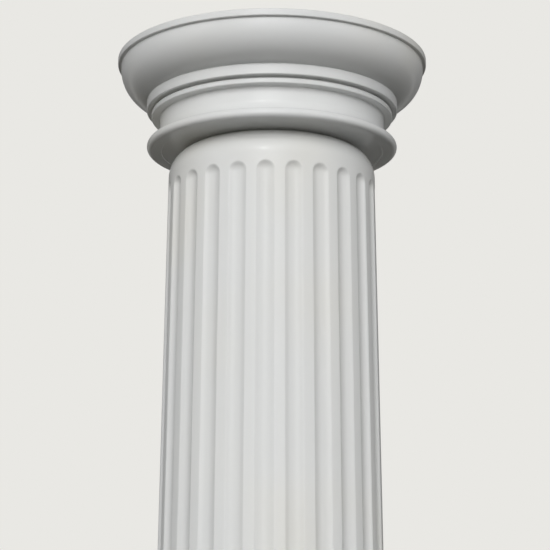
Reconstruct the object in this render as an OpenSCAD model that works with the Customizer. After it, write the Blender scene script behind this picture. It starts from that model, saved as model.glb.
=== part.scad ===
// Fluted round column in three mouldings: a base, a tapered shaft with a
// rounded shoulder, and a round capital. Sizes in millimetres. The column
// stands on the ground plane with its axis on Z.

/* [Overall] */
// Height of the whole column, from the ground to the top of the capital
column_height = 2400; // [2000:10:3600]
// Diameter of the shaft at the foot of its rounded shoulder
shaft_top_dia = 250; // [200:1:320]
// Diameter of the shaft where it stands on the base
shaft_bottom_dia = 306; // [240:1:400]

/* [Shaft] */
// Radius of the rounded shoulder at the top of the shaft
shoulder_radius = 36; // [15:1:50]
// Height of the shoulder, from the straight taper to the capital's underside
shoulder_rise = 34.5; // [10:0.5:40]
// Plain band left at each end of the shaft, beyond the flute ends
plain_band = 44.5; // [38:0.5:120]
// Number of flutes round the shaft
flute_count = 24; // [16:1:28]
// Width of a flute as a share of its pitch round the shaft
flute_share = 0.6; // [0.4:0.01:0.8]
// Depth of a flute as a share of its width
flute_hollow = 0.2; // [0.1:0.01:0.4]

/* [Capital] */
// How far the top lip stands out beyond the shaft
lip_reach = 64; // [60:0.5:100]
// Height of the top lip
lip_height = 8.5; // [5.5:0.5:20]
// How far the bulging moulding under the lip stands out beyond the shaft
ovolo_reach = 60; // [45:0.5:62]
// Height of the bulging moulding
ovolo_height = 44; // [42:0.5:60]
// Radius of the bulging moulding
ovolo_radius = 40; // [20:0.5:42]
// How far the upper fillet stands out beyond the shaft
fillet_reach = 28; // [24:0.5:40]
// Height of the upper fillet
fillet_height = 13; // [8:0.5:25]
// How far the lower fillet stands out beyond the shaft
bead_reach = 22; // [18:0.5:30]
// Height of the lower fillet
bead_height = 6.5; // [5.5:0.5:15]
// Height of the groove between the two fillets
groove_height = 2; // [1:0.5:8]
// Depth of the groove between the two fillets
groove_depth = 4.5; // [1:0.5:8]
// How far the narrowest place of the neck stands out beyond the shaft
neck_reach = 11.5; // [4:0.5:16]
// Radius of the small cove between the lower fillet and the neck
cove_radius = 1.5; // [1:0.5:5.5]
// Height of the upright part of the neck
neck_height = 15; // [1:0.5:20]
// Radius of the hollow flare from the neck down to the ring
flare_radius = 14; // [12:0.5:60]
// How far the ring at the foot of the capital stands out beyond the shaft
ring_reach = 27; // [20:0.5:40]
// Radius of the ring's rounded nose
nose_radius = 6; // [3:0.5:8]
// Width of the flat rim under the ring, in from its nose
rim_width = 17.5; // [12:0.5:24]
// Depth of the capital's underside above the rim
soffit_recess = 1; // [1:0.5:5]

/* [Base] */
// How far the plinth stands out beyond the foot of the shaft
plinth_reach = 47; // [46:0.5:80]
// Height of the plinth
plinth_height = 53; // [30:1:120]
// How far the round moulding on the plinth stands out beyond the shaft
torus_reach = 42; // [34:0.5:45]
// Radius of the round moulding
torus_radius = 28; // [15:0.5:30]
// How far the fillet under the shaft stands out beyond it
seat_reach = 12; // [6:0.5:13]
// Height of the fillet under the shaft
seat_height = 13; // [6:0.5:30]

/* [Edges] */
// Rounding of the edges of the lip, the fillets and the plinth
edge_round = 1.5; // [0.5:0.1:2.7]

/* [Hidden] */
$fn = 96;
white = "#e9e9e6";

shaft_top_r = shaft_top_dia / 2;
shaft_bottom_r = shaft_bottom_dia / 2;

// the torus is let into the plinth below it and the fillet above it by this
torus_sink = 1.5;
base_height = plinth_height + 2 * (torus_radius - torus_sink) + seat_height;

lip_r = shaft_top_r + lip_reach;
ovolo_r = shaft_top_r + ovolo_reach;
fillet_r = shaft_top_r + fillet_reach;
bead_r = shaft_top_r + bead_reach;
neck_r = shaft_top_r + neck_reach;
ring_r = shaft_top_r + ring_reach;

// centres of the hollow flare and of the ring's nose, which touch
flare_c = neck_r + flare_radius;
nose_c = ring_r - nose_radius;

// levels of the capital, from the top down
lip_z = column_height - lip_height;
ovolo_z = lip_z - ovolo_height;
fillet_z = ovolo_z - fillet_height;
bead_z = fillet_z - groove_height - bead_height;
cove_z = bead_z - cove_radius;
neck_z = cove_z - neck_height;
nose_z = neck_z - sqrt(pow(flare_radius + nose_radius, 2) - pow(flare_c - nose_c, 2));
rim_z = nose_z - nose_radius;
soffit_z = rim_z + soffit_recess;

// the shaft tapers in a straight line from its foot to the shoulder
shoulder_z = soffit_z - shoulder_rise;
taper = (shaft_bottom_r - shaft_top_r) / (shoulder_z - base_height);
taper_angle = atan(taper);
shoulder_r = shaft_top_r - shoulder_radius / cos(taper_angle);

function shaft_r(z) = shaft_top_r + taper * (shoulder_z - z);

// a flute seen from above is an arc cut into the shaft
function flute_half(z) = shaft_r(z) * sin(180 * flute_share / flute_count);
function flute_deep(z) = 2 * flute_half(z) * flute_hollow;
function flute_r(z) = (pow(flute_half(z), 2) + pow(flute_deep(z), 2)) / (2 * flute_deep(z));
function flute_x(z) = sqrt(pow(shaft_r(z), 2) - pow(flute_half(z), 2)) - flute_deep(z) + flute_r(z);

// centres of the round ends of the flutes
flute_low_z = base_height + plain_band + flute_half(base_height + plain_band);
flute_top_z = soffit_z - plain_band - flute_half(soffit_z - plain_band);
flute_rise = flute_top_z - flute_low_z;
flute_lean = atan((flute_x(flute_low_z) - flute_x(flute_top_z)) / flute_rise);
flute_run = flute_rise / cos(flute_lean);

// section of a flat ring with rounded outer edges, out to r, from z up by h
module band(r, z, h) {
    translate([0, z]) square([r - edge_round, h]);
    translate([0, z + edge_round]) square([r, h - 2 * edge_round]);
    for (c = [z + edge_round, z + h - edge_round])
        translate([r - edge_round, c]) circle(r = edge_round);
}

// plinth, round moulding and the fillet the shaft stands on
module base() {
    color(white) rotate_extrude() {
        band(shaft_bottom_r + plinth_reach, 0, plinth_height);
        translate([shaft_bottom_r + torus_reach - torus_radius, plinth_height - torus_sink + torus_radius])
            circle(r = torus_radius);
        square([shaft_bottom_r + torus_reach - torus_radius, base_height - seat_height]);
        band(shaft_bottom_r + seat_reach, base_height - seat_height, seat_height);
    }
}

// one flute as a solid with round ends, its lower end at the origin
module flute() {
    rotate_extrude() {
        polygon([[0, 0], [flute_r(flute_low_z), 0], [flute_r(flute_top_z), flute_run], [0, flute_run]]);
        intersection() {
            circle(r = flute_r(flute_low_z));
            translate([0, -flute_r(flute_low_z)]) square(flute_r(flute_low_z));
        }
        translate([0, flute_run]) intersection() {
            circle(r = flute_r(flute_top_z));
            square(flute_r(flute_top_z));
        }
    }
}

// tapered shaft with its rounded shoulder and its flutes
module shaft() {
    color(white) difference() {
        rotate_extrude() {
            polygon([
                [0, base_height],
                [shaft_bottom_r, base_height],
                [shoulder_r + shoulder_radius * cos(taper_angle), shoulder_z + shoulder_radius * sin(taper_angle)],
                [0, shoulder_z + shoulder_radius * sin(taper_angle)]
            ]);
            translate([shoulder_r, shoulder_z]) intersection() {
                circle(r = shoulder_radius);
                square([shoulder_radius, shoulder_rise]);
            }
            translate([0, shoulder_z]) square([shoulder_r, shoulder_rise]);
        }
        for (i = [0 : flute_count - 1])
            rotate([0, 0, i * 360 / flute_count - 90])
                translate([flute_x(flute_low_z), 0, flute_low_z])
                    rotate([0, -flute_lean, 0]) flute();
    }
}

// ring, hollow neck, two fillets, bulging moulding and top lip
module capital() {
    color(white) rotate_extrude() difference() {
        union() {
            band(lip_r, lip_z, lip_height);
            translate([0, ovolo_z]) square([ovolo_r - ovolo_radius, ovolo_height]);
            intersection() {
                translate([ovolo_r - ovolo_radius, ovolo_z + ovolo_radius]) circle(r = ovolo_radius);
                translate([ovolo_r - ovolo_radius, ovolo_z]) square([ovolo_radius, ovolo_height]);
            }
            band(fillet_r, fillet_z, fillet_height);
            translate([0, bead_z]) square([bead_r - groove_depth, fillet_z - bead_z]);
            band(bead_r, bead_z, bead_height);
            difference() {
                translate([0, cove_z]) square([neck_r + cove_radius, cove_radius]);
                translate([neck_r + cove_radius, cove_z]) circle(r = cove_radius);
            }
            translate([0, neck_z]) square([neck_r, neck_height]);
            difference() {
                polygon([[0, neck_z], [0, rim_z], [nose_c, rim_z], [nose_c, nose_z], [flare_c, neck_z]]);
                translate([flare_c, neck_z]) circle(r = flare_radius);
            }
            translate([nose_c, nose_z]) circle(r = nose_radius);
        }
        translate([0, rim_z]) square([ring_r - rim_width, soffit_recess]);
    }
}

base();
shaft();
capital();
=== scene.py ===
import math

import bpy
import numpy as np
from mathutils import Matrix, Vector


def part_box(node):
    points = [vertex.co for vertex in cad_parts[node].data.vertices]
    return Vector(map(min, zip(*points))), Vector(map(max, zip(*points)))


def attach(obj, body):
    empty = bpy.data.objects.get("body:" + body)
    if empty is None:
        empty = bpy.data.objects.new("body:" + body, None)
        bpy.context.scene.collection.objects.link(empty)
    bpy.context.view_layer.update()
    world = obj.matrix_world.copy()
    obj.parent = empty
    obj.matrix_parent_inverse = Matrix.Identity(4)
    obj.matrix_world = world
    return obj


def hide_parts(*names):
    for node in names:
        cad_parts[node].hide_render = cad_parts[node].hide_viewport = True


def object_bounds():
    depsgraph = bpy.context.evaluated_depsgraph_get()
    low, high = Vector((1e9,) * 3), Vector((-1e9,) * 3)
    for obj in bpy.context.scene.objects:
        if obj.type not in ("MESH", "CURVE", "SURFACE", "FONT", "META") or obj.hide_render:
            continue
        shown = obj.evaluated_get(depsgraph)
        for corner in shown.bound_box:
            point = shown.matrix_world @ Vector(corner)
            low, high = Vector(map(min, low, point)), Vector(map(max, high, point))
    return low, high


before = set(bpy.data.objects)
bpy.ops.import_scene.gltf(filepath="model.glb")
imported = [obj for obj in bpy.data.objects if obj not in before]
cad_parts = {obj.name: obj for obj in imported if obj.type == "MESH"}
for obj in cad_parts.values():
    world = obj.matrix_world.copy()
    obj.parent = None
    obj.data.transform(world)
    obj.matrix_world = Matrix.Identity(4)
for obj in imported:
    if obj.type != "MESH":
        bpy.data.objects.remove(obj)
cadLow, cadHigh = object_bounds()
scene = bpy.context.scene
millimetre = 0.001


def hexToLinear(code):  # "#rrggbb" in sRGB to the linear colour a shader wants
    channels = [int(code[i:i + 2], 16) / 255 for i in (1, 3, 5)]
    return [c / 12.92 if c <= 0.04045 else ((c + 0.055) / 1.055) ** 2.4 for c in channels] + [1.0]


def addNode(tree, kind, inputs=None, **settings):  # a node with its settings, values and links in one go
    node = tree.nodes.new(kind)
    for name, value in settings.items():
        setattr(node, name, value)
    for name, value in (inputs or {}).items():
        if isinstance(value, bpy.types.NodeSocket):
            tree.links.new(value, node.inputs[name])
        else:
            node.inputs[name].default_value = value
    return node


def emptyTree(owner):  # the node tree of a material or world, with nothing in it
    owner.use_nodes = True
    owner.node_tree.nodes.clear()
    return owner.node_tree


def arcPoints(centre, radius, start, end, steps):  # an arc of the section, angles in degrees from +r towards +z
    angles = np.radians(np.linspace(start, end, steps + 1))
    return [(centre[0] + radius * math.cos(a), centre[1] + radius * math.sin(a)) for a in angles]


def easeCorner(before, corner, after, rounding, steps=6):  # a corner of the section turned into a small tangent arc
    before, corner, after = Vector(before), Vector(corner), Vector(after)
    inWay, outWay = (before - corner).normalized(), (after - corner).normalized()
    half = inWay.angle(outWay) / 2
    centre = corner + (inWay + outWay).normalized() * (rounding / math.sin(half))
    start = corner + inWay * (rounding / math.tan(half)) - centre
    end = corner + outWay * (rounding / math.tan(half)) - centre
    turn = start.angle_signed(end)  # clockwise is positive here
    return [tuple(centre + Matrix.Rotation(-turn * i / steps, 2) @ start) for i in range(steps + 1)]


def easeSection(points):  # points are (r, z) kept as they are, or (r, z, rounding) corners to be eased
    section = []
    for i, point in enumerate(points):
        if len(point) == 2:
            section.append(point)
        else:
            section += easeCorner(points[i - 1][:2], point[:2], points[i + 1][:2], point[2])
    return section


def finishPiece(name, verts, faces, normals, material, node):  # makes the object and ties it to the frame
    mesh = bpy.data.meshes.new(name)
    mesh.from_pydata(verts, [], faces)
    mesh.polygons.foreach_set("use_smooth", [True] * len(mesh.polygons))
    mesh.normals_split_custom_set_from_vertices(normals)
    mesh.materials.append(material)
    piece = bpy.data.objects.new(name, mesh)
    scene.collection.objects.link(piece)
    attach(piece, "root")
    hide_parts(node)
    print(f"{name}: {len(mesh.vertices)} points, {sum(len(p.vertices) - 2 for p in mesh.polygons)} triangles")
    return piece


def turnSection(name, section, turns, material, node):  # spins a closed section, in mm, about the axis
    points = np.array(section) * millimetre
    along = np.diff(points, axis=0)
    side = np.stack([along[:, 1], -along[:, 0]], 1) * -1  # as long as its segment, so flats outweigh the eased edges
    pointNormals = np.zeros_like(points)
    pointNormals[:-1] += side
    pointNormals[1:] += side
    pointNormals /= np.linalg.norm(pointNormals, axis=1)[:, None] + 1e-12
    angles = np.arange(turns) * 2 * math.pi / turns
    cosine, sine = np.cos(angles), np.sin(angles)
    verts, normals, rings = [], [], []
    for (r, z), (nr, nz) in zip(points, pointNormals):
        if r < 1e-9:  # where the section meets the axis
            rings.append([len(verts)] * turns)
            verts.append((0, 0, z))
            normals.append((0, 0, 1 if nz > 0 else -1))
        else:
            rings.append(list(range(len(verts), len(verts) + turns)))
            verts += [(r * c, r * s, z) for c, s in zip(cosine, sine)]
            normals += [(nr * c, nr * s, nz) for c, s in zip(cosine, sine)]
    faces = []
    for upper, lower in zip(rings[:-1], rings[1:]):
        for i in range(turns):
            j = (i + 1) % turns
            corners = [upper[i], lower[i], lower[j], upper[j]]
            faces.append([c for k, c in enumerate(corners) if c not in corners[:k]])
    return finishPiece(name, verts, faces, normals, material, node)


# White gelcoat on glass-reinforced polyester: sprayed into a polished mould and laid up by hand.
# The eye sees a clean half-gloss white, barely uneven in tone and sheen, with a breath of dust on the ledges.
gelcoatLook = {
    "white": "#e6e6e3",
    "cooler": "#dfe1e2",
    "warmer": "#e5e3da",
    "dust": "#d3d1c9",
    "dullest": 0.40,         # roughness where the surface is dullest
    "glossiest": 0.32,
    "ior": 1.52,
    "coat": 0.5,             # the polished outermost skin
    "coatRoughness": 0.15,
    "coatIor": 1.5,
    "cloudMm": 190,          # size of the faint tone patches
    "warmMm": 146.154,       # size of the faintly warmer patches
    "sheenMm": 70,           # size of the duller and glossier patches
    "dustMm": 35,
    "dustFacing": 0.85,      # how far up a surface must face before dust lies on it
    "dustLeast": 0.35,       # share of a ledge's colour that dust takes
    "dustMost": 0.6,
    "dustDulls": 0.3,        # roughness that full dust adds
    "peelMm": 4,             # orange peel of the sprayed mould coat
    "peelHeightMm": 0.004,
}


def makeGelcoat(name, look, shift):
    material = bpy.data.materials.new(name)
    tree = emptyTree(material)
    place = addNode(tree, "ShaderNodeTexCoord").outputs["Object"]
    moved = addNode(tree, "ShaderNodeMapping", {"Vector": place, "Location": shift}).outputs["Vector"]

    patches = {}
    for kind, detail, roughness in (
            ("cloud", 2.0, 0.45), ("warm", 1.0, 0.45), ("sheen", 2.0, 0.5), ("dust", 3.0, 0.55), ("peel", 1.0, 0.5)):
        patches[kind] = addNode(tree, "ShaderNodeTexNoise", {
            "Vector": moved, "Scale": 1000 / look[kind + "Mm"], "Detail": detail, "Roughness": roughness,
        }).outputs["Fac"]

    tone = addNode(tree, "ShaderNodeMix", {
        "Factor": patches["cloud"], 6: hexToLinear(look["white"]), 7: hexToLinear(look["cooler"]),
    }, data_type="RGBA").outputs[2]
    warmShare = addNode(tree, "ShaderNodeMapRange", {
        "Value": patches["warm"], "From Min": 0.45, "From Max": 0.8, "To Min": 0.0, "To Max": 0.5,
    }, interpolation_type="SMOOTHSTEP").outputs["Result"]
    tone = addNode(tree, "ShaderNodeMix", {
        "Factor": warmShare, 6: tone, 7: hexToLinear(look["warmer"]),
    }, data_type="RGBA").outputs[2]

    normal = addNode(tree, "ShaderNodeNewGeometry").outputs["Normal"]
    facing = addNode(tree, "ShaderNodeSeparateXYZ", {"Vector": normal}).outputs["Z"]
    ledge = addNode(tree, "ShaderNodeMapRange", {
        "Value": facing, "From Min": look["dustFacing"], "From Max": 1.0,
    }, interpolation_type="SMOOTHSTEP").outputs["Result"]
    lying = addNode(tree, "ShaderNodeMapRange", {
        "Value": patches["dust"], "From Min": 0.3, "From Max": 0.7,
        "To Min": look["dustLeast"], "To Max": look["dustMost"],
    }, interpolation_type="SMOOTHSTEP").outputs["Result"]
    dust = addNode(tree, "ShaderNodeMath", {0: ledge, 1: lying}, operation="MULTIPLY").outputs[0]
    colour = addNode(tree, "ShaderNodeMix", {
        "Factor": dust, 6: tone, 7: hexToLinear(look["dust"]),
    }, data_type="RGBA").outputs[2]

    clean = addNode(tree, "ShaderNodeMapRange", {
        "Value": patches["sheen"], "From Min": 0.25, "From Max": 0.75,
        "To Min": look["glossiest"], "To Max": look["dullest"],
    }).outputs["Result"]
    roughness = addNode(tree, "ShaderNodeMath", {
        0: dust, 1: look["dustDulls"], 2: clean,
    }, operation="MULTIPLY_ADD", use_clamp=True).outputs[0]
    grain = addNode(tree, "ShaderNodeBump", {
        "Height": patches["peel"], "Strength": 1.0, "Distance": look["peelHeightMm"] * millimetre,
    }).outputs["Normal"]
    shader = addNode(tree, "ShaderNodeBsdfPrincipled", {
        "Base Color": colour, "Roughness": roughness, "IOR": look["ior"], "Normal": grain,
        "Coat Weight": look["coat"], "Coat Roughness": look["coatRoughness"], "Coat IOR": look["coatIor"],
    })
    addNode(tree, "ShaderNodeOutputMaterial", {"Surface": shader.outputs["BSDF"]})
    return material


shaftGelcoat = makeGelcoat("whiteGelcoatShaft", gelcoatLook, (0.0, 0.0, 0.0))
capitalGelcoat = makeGelcoat("whiteGelcoatCapital", gelcoatLook, (3.1, 1.7, 0.4))
baseGelcoat = makeGelcoat("whiteGelcoatBase", gelcoatLook, (7.3, 2.9, 5.1))
print("gelcoat materials made")


# shaft: straight taper, rounded shoulder, flutes with round ends
shaftShape = {
    "topRadius": 125.0,       # at the foot of the shoulder, in mm
    "bottomRadius": 153.0,
    "shoulderRadius": 36.0,
    "shoulderRise": 34.5,
    "plainBand": 44.5,        # left at each end, beyond the flutes
    "flutes": 24,
    "fluteShare": 0.60,       # flute width over flute pitch
    "fluteHollow": 0.20,      # flute depth over flute width
    "arris": 1.6,             # softening of the flutes' edges
    "hollowSteps": 14,        # points across a flute's floor, each of its edges and a land
    "edgeSteps": 7,
    "landSteps": 5,
    "shoulderSteps": 25,
    "shoulderTurn": 68.5,     # degrees of the shoulder's arc that the steps cover, short of its top edge
}


def makeShaft(shape, material):
    low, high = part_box("shaft")
    bottom, top = low.z / millimetre, high.z / millimetre
    shoulderZ = top - shape["shoulderRise"]
    taper = (shape["bottomRadius"] - shape["topRadius"]) / (shoulderZ - bottom)
    taperAngle = math.atan(taper)
    shoulderR = shape["topRadius"] - shape["shoulderRadius"] / math.cos(taperAngle)
    pitch = 2 * math.pi / shape["flutes"]

    def outline(z):  # radius of the shaft without its flutes
        cone = shape["topRadius"] + taper * (shoulderZ - z)
        rise = np.clip(z - shoulderZ, 0, shape["shoulderRise"])
        dome = shoulderR + np.sqrt(shape["shoulderRadius"] ** 2 - rise ** 2)
        return np.where(rise > shape["shoulderRadius"] * math.sin(taperAngle), dome, cone)

    def cutter(z):  # a flute's arc at a level: half width, radius and the distance of its centre from the axis
        cone = shape["topRadius"] + taper * (shoulderZ - z)
        half = cone * math.sin(pitch * shape["fluteShare"] / 2)
        deep = 2 * half * shape["fluteHollow"]
        radius = (half ** 2 + deep ** 2) / (2 * deep)
        return half, radius, np.sqrt(cone ** 2 - half ** 2) - deep + radius

    lowEnd = bottom + shape["plainBand"] + cutter(bottom + shape["plainBand"])[0]
    topEnd = top - shape["plainBand"] - cutter(top - shape["plainBand"])[0]

    def surface(angle, z):  # radius of the finished shaft
        plain = outline(z)
        within = np.clip(z, lowEnd, topEnd)
        half, radius, centre = cutter(within)
        offset = (angle + math.pi / 2 + pitch / 2) % pitch - pitch / 2
        inside = radius ** 2 - (z - within) ** 2 - (centre * np.sin(offset)) ** 2
        fluted = np.where(inside > 0, centre * np.cos(offset) - np.sqrt(np.maximum(inside, 0)), centre)
        near = np.maximum(shape["arris"] - np.abs(plain - fluted), 0)
        return np.minimum(plain, fluted) - near ** 2 / (4 * shape["arris"])

    turnAngles = np.radians(np.linspace(0, shape["shoulderTurn"], shape["shoulderSteps"] + 1))
    levels = np.concatenate([
        np.linspace(bottom, lowEnd - 17, 4),            # plain foot
        np.arange(lowEnd - 15, lowEnd + 1, 0.7),        # lower round ends of the flutes
        np.linspace(lowEnd + 3, topEnd - 3, 14),        # straight run
        np.arange(topEnd - 1, topEnd + 12.5, 0.6),      # upper round ends
        np.linspace(topEnd + 14, shoulderZ, 5)[:-1],    # plain band
        shoulderZ + shape["shoulderRadius"] * np.sin(turnAngles),
        [top],
    ])
    half = shape["fluteShare"] / 2
    floor, land = half * 0.6, half * 1.12    # where a flute's floor ends and the land begins, in pitches
    across = np.concatenate([                # points across one pitch, closest at the flute's edges
        np.linspace(-floor, floor, shape["hollowSteps"], endpoint=False),
        np.linspace(floor, land, shape["edgeSteps"], endpoint=False),
        np.linspace(land, 1 - land, shape["landSteps"], endpoint=False),
        np.linspace(1 - land, 1 - floor, shape["edgeSteps"], endpoint=False),
    ])
    angles = np.concatenate([(across + i) * pitch - math.pi / 2 for i in range(shape["flutes"])])
    columns = len(angles)
    angle, level = np.meshgrid(angles, levels)
    radius = surface(angle, level)

    stepA, stepZ = 1e-4, 0.02  # small moves that give the slopes of the surface
    slopeA = (surface(angle + stepA, level) - surface(angle - stepA, level)) / (2 * stepA)
    upper, under = np.minimum(level + stepZ, top), np.maximum(level - stepZ, bottom)
    slopeZ = (surface(angle, upper) - surface(angle, under)) / (upper - under)
    cosine, sine = np.cos(angle), np.sin(angle)
    verts = np.stack([radius * cosine, radius * sine, level], -1).reshape(-1, 3) * millimetre
    normals = np.stack([
        radius * cosine + slopeA * sine, radius * sine - slopeA * cosine, -radius * slopeZ,
    ], -1).reshape(-1, 3)
    normals /= np.linalg.norm(normals, axis=1)[:, None]
    verts, normals = verts.tolist(), normals.tolist()

    faces = []
    for row in range(len(levels) - 1):
        start, above = row * columns, (row + 1) * columns
        for i in range(columns):
            j = (i + 1) % columns
            faces.append((start + i, start + j, above + j, above + i))
    for row, way in ((0, -1), (len(levels) - 1, 1)):  # closed ends, with their own points so the rim stays crisp
        start = len(verts)
        verts += verts[row * columns:(row + 1) * columns]
        normals += [(0, 0, way)] * columns
        faces.append([start + i for i in range(columns)][::way])
    return finishPiece("shaftMoulding", verts, faces, normals, material, "shaft")


makeShaft(shaftShape, shaftGelcoat)


# capital: top lip, bulging moulding, two fillets, hollow neck, ring with a shallow recess under it
capitalShape = {
    "lipRadius": 189.0, "lipHeight": 8.5,    # in mm
    "ovoloOut": 185.0, "ovoloRadius": 40.0, "ovoloHeight": 44.0,
    "filletRadius": 153.0, "filletHeight": 13.0,
    "grooveRadius": 142.5, "grooveHeight": 2.0,
    "beadRadius": 147.0, "beadHeight": 6.5,
    "neckRadius": 136.5, "neckHeight": 15.0, "coveRadius": 1.5, "flareRadius": 14.0,
    "ringRadius": 152.0, "noseRadius": 6.0,
    "rimWidth": 17.5, "soffitRecess": 1.0,
    "edge": 1.5,              # rounding of the lip and fillets
    "corner": 0.5,            # rounding of the inner corners
    "rimEdge": 0.4,
    "turns": 288,
}


def makeCapital(shape, material):
    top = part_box("capital")[1].z / millimetre
    lipZ = top - shape["lipHeight"]
    ovoloZ = lipZ - shape["ovoloHeight"]
    filletZ = ovoloZ - shape["filletHeight"]
    grooveZ = filletZ - shape["grooveHeight"]
    beadZ = grooveZ - shape["beadHeight"]
    coveZ = beadZ - shape["coveRadius"]
    neckZ = coveZ - shape["neckHeight"]
    ovoloR = shape["ovoloOut"] - shape["ovoloRadius"]
    flareR, noseR = shape["neckRadius"] + shape["flareRadius"], shape["ringRadius"] - shape["noseRadius"]
    flareToNose = shape["flareRadius"] + shape["noseRadius"]  # the two arcs touch
    flareTurn = math.degrees(math.acos((flareR - noseR) / flareToNose))
    noseZ = neckZ - flareToNose * math.sin(math.radians(flareTurn))
    rimZ = noseZ - shape["noseRadius"]
    rimR = shape["ringRadius"] - shape["rimWidth"]
    soffitZ = rimZ + shape["soffitRecess"]
    edge, corner, rimEdge = shape["edge"], shape["corner"], shape["rimEdge"]

    ovoloStart = math.degrees(math.asin((lipZ - ovoloZ - shape["ovoloRadius"]) / shape["ovoloRadius"]))
    ovoloEnd = math.degrees(math.asin((shape["filletRadius"] - edge - ovoloR) / shape["ovoloRadius"])) - 90
    ovoloCentre = (ovoloR, ovoloZ + shape["ovoloRadius"])
    ovolo = arcPoints(ovoloCentre, shape["ovoloRadius"], ovoloStart, ovoloEnd, 36)
    filletEdge = arcPoints((shape["filletRadius"] - edge, ovoloZ - edge), edge, 85, 0, 6)
    cove = arcPoints((shape["neckRadius"] + shape["coveRadius"], coveZ), shape["coveRadius"], 90, 180, 12)
    flare = arcPoints((flareR, neckZ), shape["flareRadius"], 180, 180 + flareTurn, 24)
    nose = arcPoints((noseR, noseZ), shape["noseRadius"], flareTurn, -90, 24)
    section = easeSection(
        [(0, top), (shape["lipRadius"] * 0.6, top)]
        + [(shape["lipRadius"], top, edge), (shape["lipRadius"], lipZ, edge), (ovolo[0][0], lipZ, corner)]
        + ovolo[1:] + filletEdge
        + [(shape["filletRadius"], filletZ, edge)]
        + [(shape["grooveRadius"], filletZ, corner), (shape["grooveRadius"], grooveZ, corner)]
        + [(shape["beadRadius"], grooveZ, edge), (shape["beadRadius"], beadZ, edge)]
        + cove + flare + nose[1:]
        + [(rimR, rimZ, rimEdge), (rimR, soffitZ, rimEdge), (0, soffitZ)]
    )
    return turnSection("capitalMoulding", section, shape["turns"], material, "capital")


makeCapital(capitalShape, capitalGelcoat)


# base: plinth, round moulding and the fillet under the shaft
baseShape = {
    "plinthRadius": 200.0, "plinthHeight": 53.0,    # in mm
    "torusOut": 195.0, "torusRadius": 28.0,
    "torusSink": 1.5,         # how far the round moulding is let into the plinth and the fillet
    "seatRadius": 165.0, "seatHeight": 13.0,
    "edge": 1.5,
    "seatCorner": 0.8,        # rounding of the inner corners
    "torusCorner": 0.4,
    "turns": 288,
}


def makeBase(shape, material):
    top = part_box("base")[1].z / millimetre
    torusZ = shape["plinthHeight"] - shape["torusSink"] + shape["torusRadius"]
    seatZ = top - shape["seatHeight"]
    centre = shape["torusOut"] - shape["torusRadius"]
    dip = math.degrees(math.asin(1 - shape["torusSink"] / shape["torusRadius"]))
    torus = arcPoints((centre, torusZ), shape["torusRadius"], dip, -dip, 48)
    torusR = centre + math.sqrt(shape["torusRadius"] ** 2 - (shape["torusRadius"] - shape["torusSink"]) ** 2)
    edge, seatCorner, torusCorner = shape["edge"], shape["seatCorner"], shape["torusCorner"]
    section = easeSection(
        [(0, top), (shape["seatRadius"] * 0.7, top), (shape["seatRadius"], top, edge)]
        + [(shape["seatRadius"], seatZ, seatCorner), (torusR, seatZ, torusCorner)]
        + torus[1:-1]
        + [(torusR, shape["plinthHeight"], torusCorner), (shape["plinthRadius"], shape["plinthHeight"], edge)]
        + [(shape["plinthRadius"], 0, edge), (0, 0)]
    )
    return turnSection("baseMoulding", section, shape["turns"], material, "base")


makeBase(baseShape, baseGelcoat)


# a plain pale floor; the light it gives back to the column is duller than it looks
floorLook = {
    "backdrop": "#e9e8e4",
    "bounce": "#4c4b48",
    "radius": 40.0,      # in metres
    "fadeFrom": 5.0,     # where the floor starts to melt into the backdrop
    "fadeTo": 36.0,
    "sides": 96,
}


def makeFloor(look):
    mesh = bpy.data.meshes.new("studioFloor")
    angles = np.arange(look["sides"]) * 2 * math.pi / look["sides"]
    ring = [(look["radius"] * math.cos(a), look["radius"] * math.sin(a), 0) for a in angles]
    mesh.from_pydata(ring, [], [list(range(look["sides"]))])
    floor = bpy.data.objects.new("studioFloor", mesh)
    scene.collection.objects.link(floor)
    material = bpy.data.materials.new("matteFloorPaint")
    tree = emptyTree(material)
    ray = addNode(tree, "ShaderNodeLightPath")
    pale = addNode(tree, "ShaderNodeBsdfDiffuse", {"Color": hexToLinear(look["backdrop"])})
    dull = addNode(tree, "ShaderNodeBsdfDiffuse", {"Color": hexToLinear(look["bounce"])})
    lit = addNode(tree, "ShaderNodeMixShader", {
        0: ray.outputs["Is Camera Ray"], 1: dull.outputs[0], 2: pale.outputs[0],
    })
    place = addNode(tree, "ShaderNodeNewGeometry").outputs["Position"]
    far = addNode(tree, "ShaderNodeVectorMath", {0: place}, operation="LENGTH")
    fade = addNode(tree, "ShaderNodeMapRange", {
        "Value": far.outputs["Value"], "From Min": look["fadeFrom"], "From Max": look["fadeTo"],
    }, interpolation_type="SMOOTHSTEP")
    glow = addNode(tree, "ShaderNodeEmission", {"Color": hexToLinear(look["backdrop"]), "Strength": 1.0})
    edge = addNode(tree, "ShaderNodeMixShader", {0: fade.outputs["Result"], 1: lit.outputs[0], 2: glow.outputs[0]})
    addNode(tree, "ShaderNodeOutputMaterial", {"Surface": edge.outputs[0]})
    mesh.materials.append(material)


worldLook = {
    "backdrop": "#e9e8e4",
    "sky": 0.15,
    "below": 0.07,       # light from under the horizon
    "blendFrom": -0.2,   # height of the view direction where one turns to the other
    "blendTo": 0.1,
}


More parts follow.
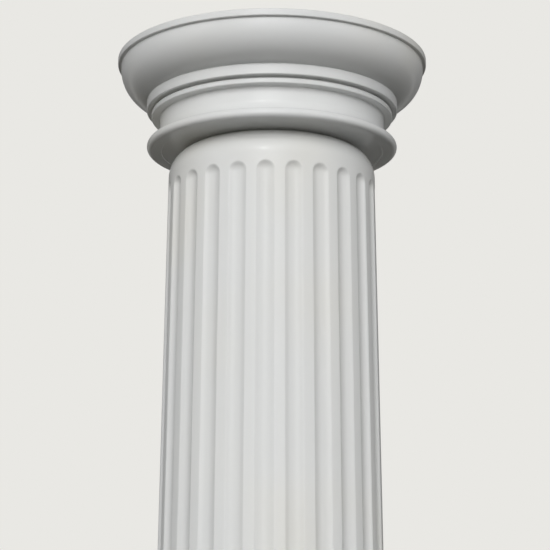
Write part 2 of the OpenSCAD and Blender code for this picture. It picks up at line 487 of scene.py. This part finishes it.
def makeWorld(look):
    world = bpy.data.worlds.new("studioWorld")
    scene.world = world
    tree = emptyTree(world)
    place = addNode(tree, "ShaderNodeTexCoord").outputs["Generated"]
    way = addNode(tree, "ShaderNodeSeparateXYZ", {"Vector": place})
    level = addNode(tree, "ShaderNodeMapRange", {
        "Value": way.outputs["Z"], "From Min": look["blendFrom"], "From Max": look["blendTo"],
        "To Min": look["below"], "To Max": look["sky"],
    }, interpolation_type="SMOOTHSTEP")
    light = addNode(tree, "ShaderNodeBackground", {
        "Color": (1.0, 1.0, 1.0, 1.0), "Strength": level.outputs["Result"],
    })
    shown = addNode(tree, "ShaderNodeBackground", {"Color": hexToLinear(look["backdrop"]), "Strength": 1.0})
    ray = addNode(tree, "ShaderNodeLightPath")
    both = addNode(tree, "ShaderNodeMixShader", {
        0: ray.outputs["Is Camera Ray"], 1: light.outputs[0], 2: shown.outputs[0],
    })
    addNode(tree, "ShaderNodeOutputWorld", {"Surface": both.outputs[0]})


# Azimuth 0 is on the viewer's side and grows to the right, in degrees.
# The soft lights are too large to mirror, so only the small lamp glints.
lightsLook = {
    "aimBelowTop": 0.15,     # where the lamps point, in metres below the top of the column
    "sunStandoff": 5.0,      # where a sun is put, which does not change its light
    "highSky": {"azimuth": 0, "elevation": 30, "spread": 36, "energy": 0.92},
    "lowSky": {"azimuth": 0, "elevation": 3, "spread": 36, "energy": 1.30},
    "leftSky": {"azimuth": -60, "elevation": 12, "spread": 36, "energy": 0.66},
    "rightSky": {"azimuth": 60, "elevation": 12, "spread": 36, "energy": 0.66},
    "backSky": {"azimuth": 180, "elevation": 22, "spread": 40, "energy": 1.9},
    "smallLamp": {"azimuth": -6, "elevation": 31, "distance": 4.0, "size": 0.28, "energy": 9, "glints": True},
}


def makeLight(name, look, aim, standoff):  # one with a spread is a sun, one with a size is a disc
    a, e = math.radians(look["azimuth"]), math.radians(look["elevation"])
    back = Vector((math.sin(a) * math.cos(e), -math.cos(a) * math.cos(e), math.sin(e)))
    data = bpy.data.lights.new(name, "SUN" if "spread" in look else "AREA")
    data.energy = look["energy"]
    if "spread" in look:
        data.angle = math.radians(look["spread"])
    else:
        data.shape, data.size = "DISK", look["size"]
    lamp = bpy.data.objects.new(name, data)
    lamp.location = aim + back * look.get("distance", standoff)
    lamp.rotation_euler = back.to_track_quat("Z", "Y").to_euler()
    lamp.visible_glossy = look.get("glints", False)
    lamp.visible_camera = False
    scene.collection.objects.link(lamp)


makeFloor(floorLook)
makeWorld(worldLook)
aim = Vector((0, 0, cadHigh.z - lightsLook["aimBelowTop"]))
for name, look in lightsLook.items():
    if isinstance(look, dict):
        makeLight(name, look, aim, lightsLook["sunStandoff"])
print("floor, world and lamps made")


# camera: an eye 1.7 m up, looking up at the capital from 2 m away
cameraView = {
    "distance": 2.0,
    "eyeHeight": 1.6964,
    "azimuth": 3.3,      # degrees to the right of the front flute
    "pitch": 12.33,
    "yaw": 0.121,
    "roll": 0.13,
    "sensor": 36,        # in mm, as the lens
    "lens": 111.66545,
}


def makeCamera(view):
    data = bpy.data.cameras.new("viewCamera")
    data.sensor_width, data.lens = view["sensor"], view["lens"]
    camera = bpy.data.objects.new("viewCamera", data)
    a = math.radians(view["azimuth"])
    camera.location = (view["distance"] * math.sin(a), -view["distance"] * math.cos(a), view["eyeHeight"])
    heading, pitch = math.radians(view["yaw"] - view["azimuth"]), math.radians(view["pitch"])
    forward = Vector((math.sin(heading) * math.cos(pitch), math.cos(heading) * math.cos(pitch), math.sin(pitch)))
    roll = Matrix.Rotation(math.radians(view["roll"]), 3, "Z").to_quaternion()
    camera.rotation_mode = "QUATERNION"
    camera.rotation_quaternion = forward.to_track_quat("-Z", "Y") @ roll
    scene.collection.objects.link(camera)
    scene.camera = camera


makeCamera(cameraView)
scene.view_settings.view_transform = "Standard"
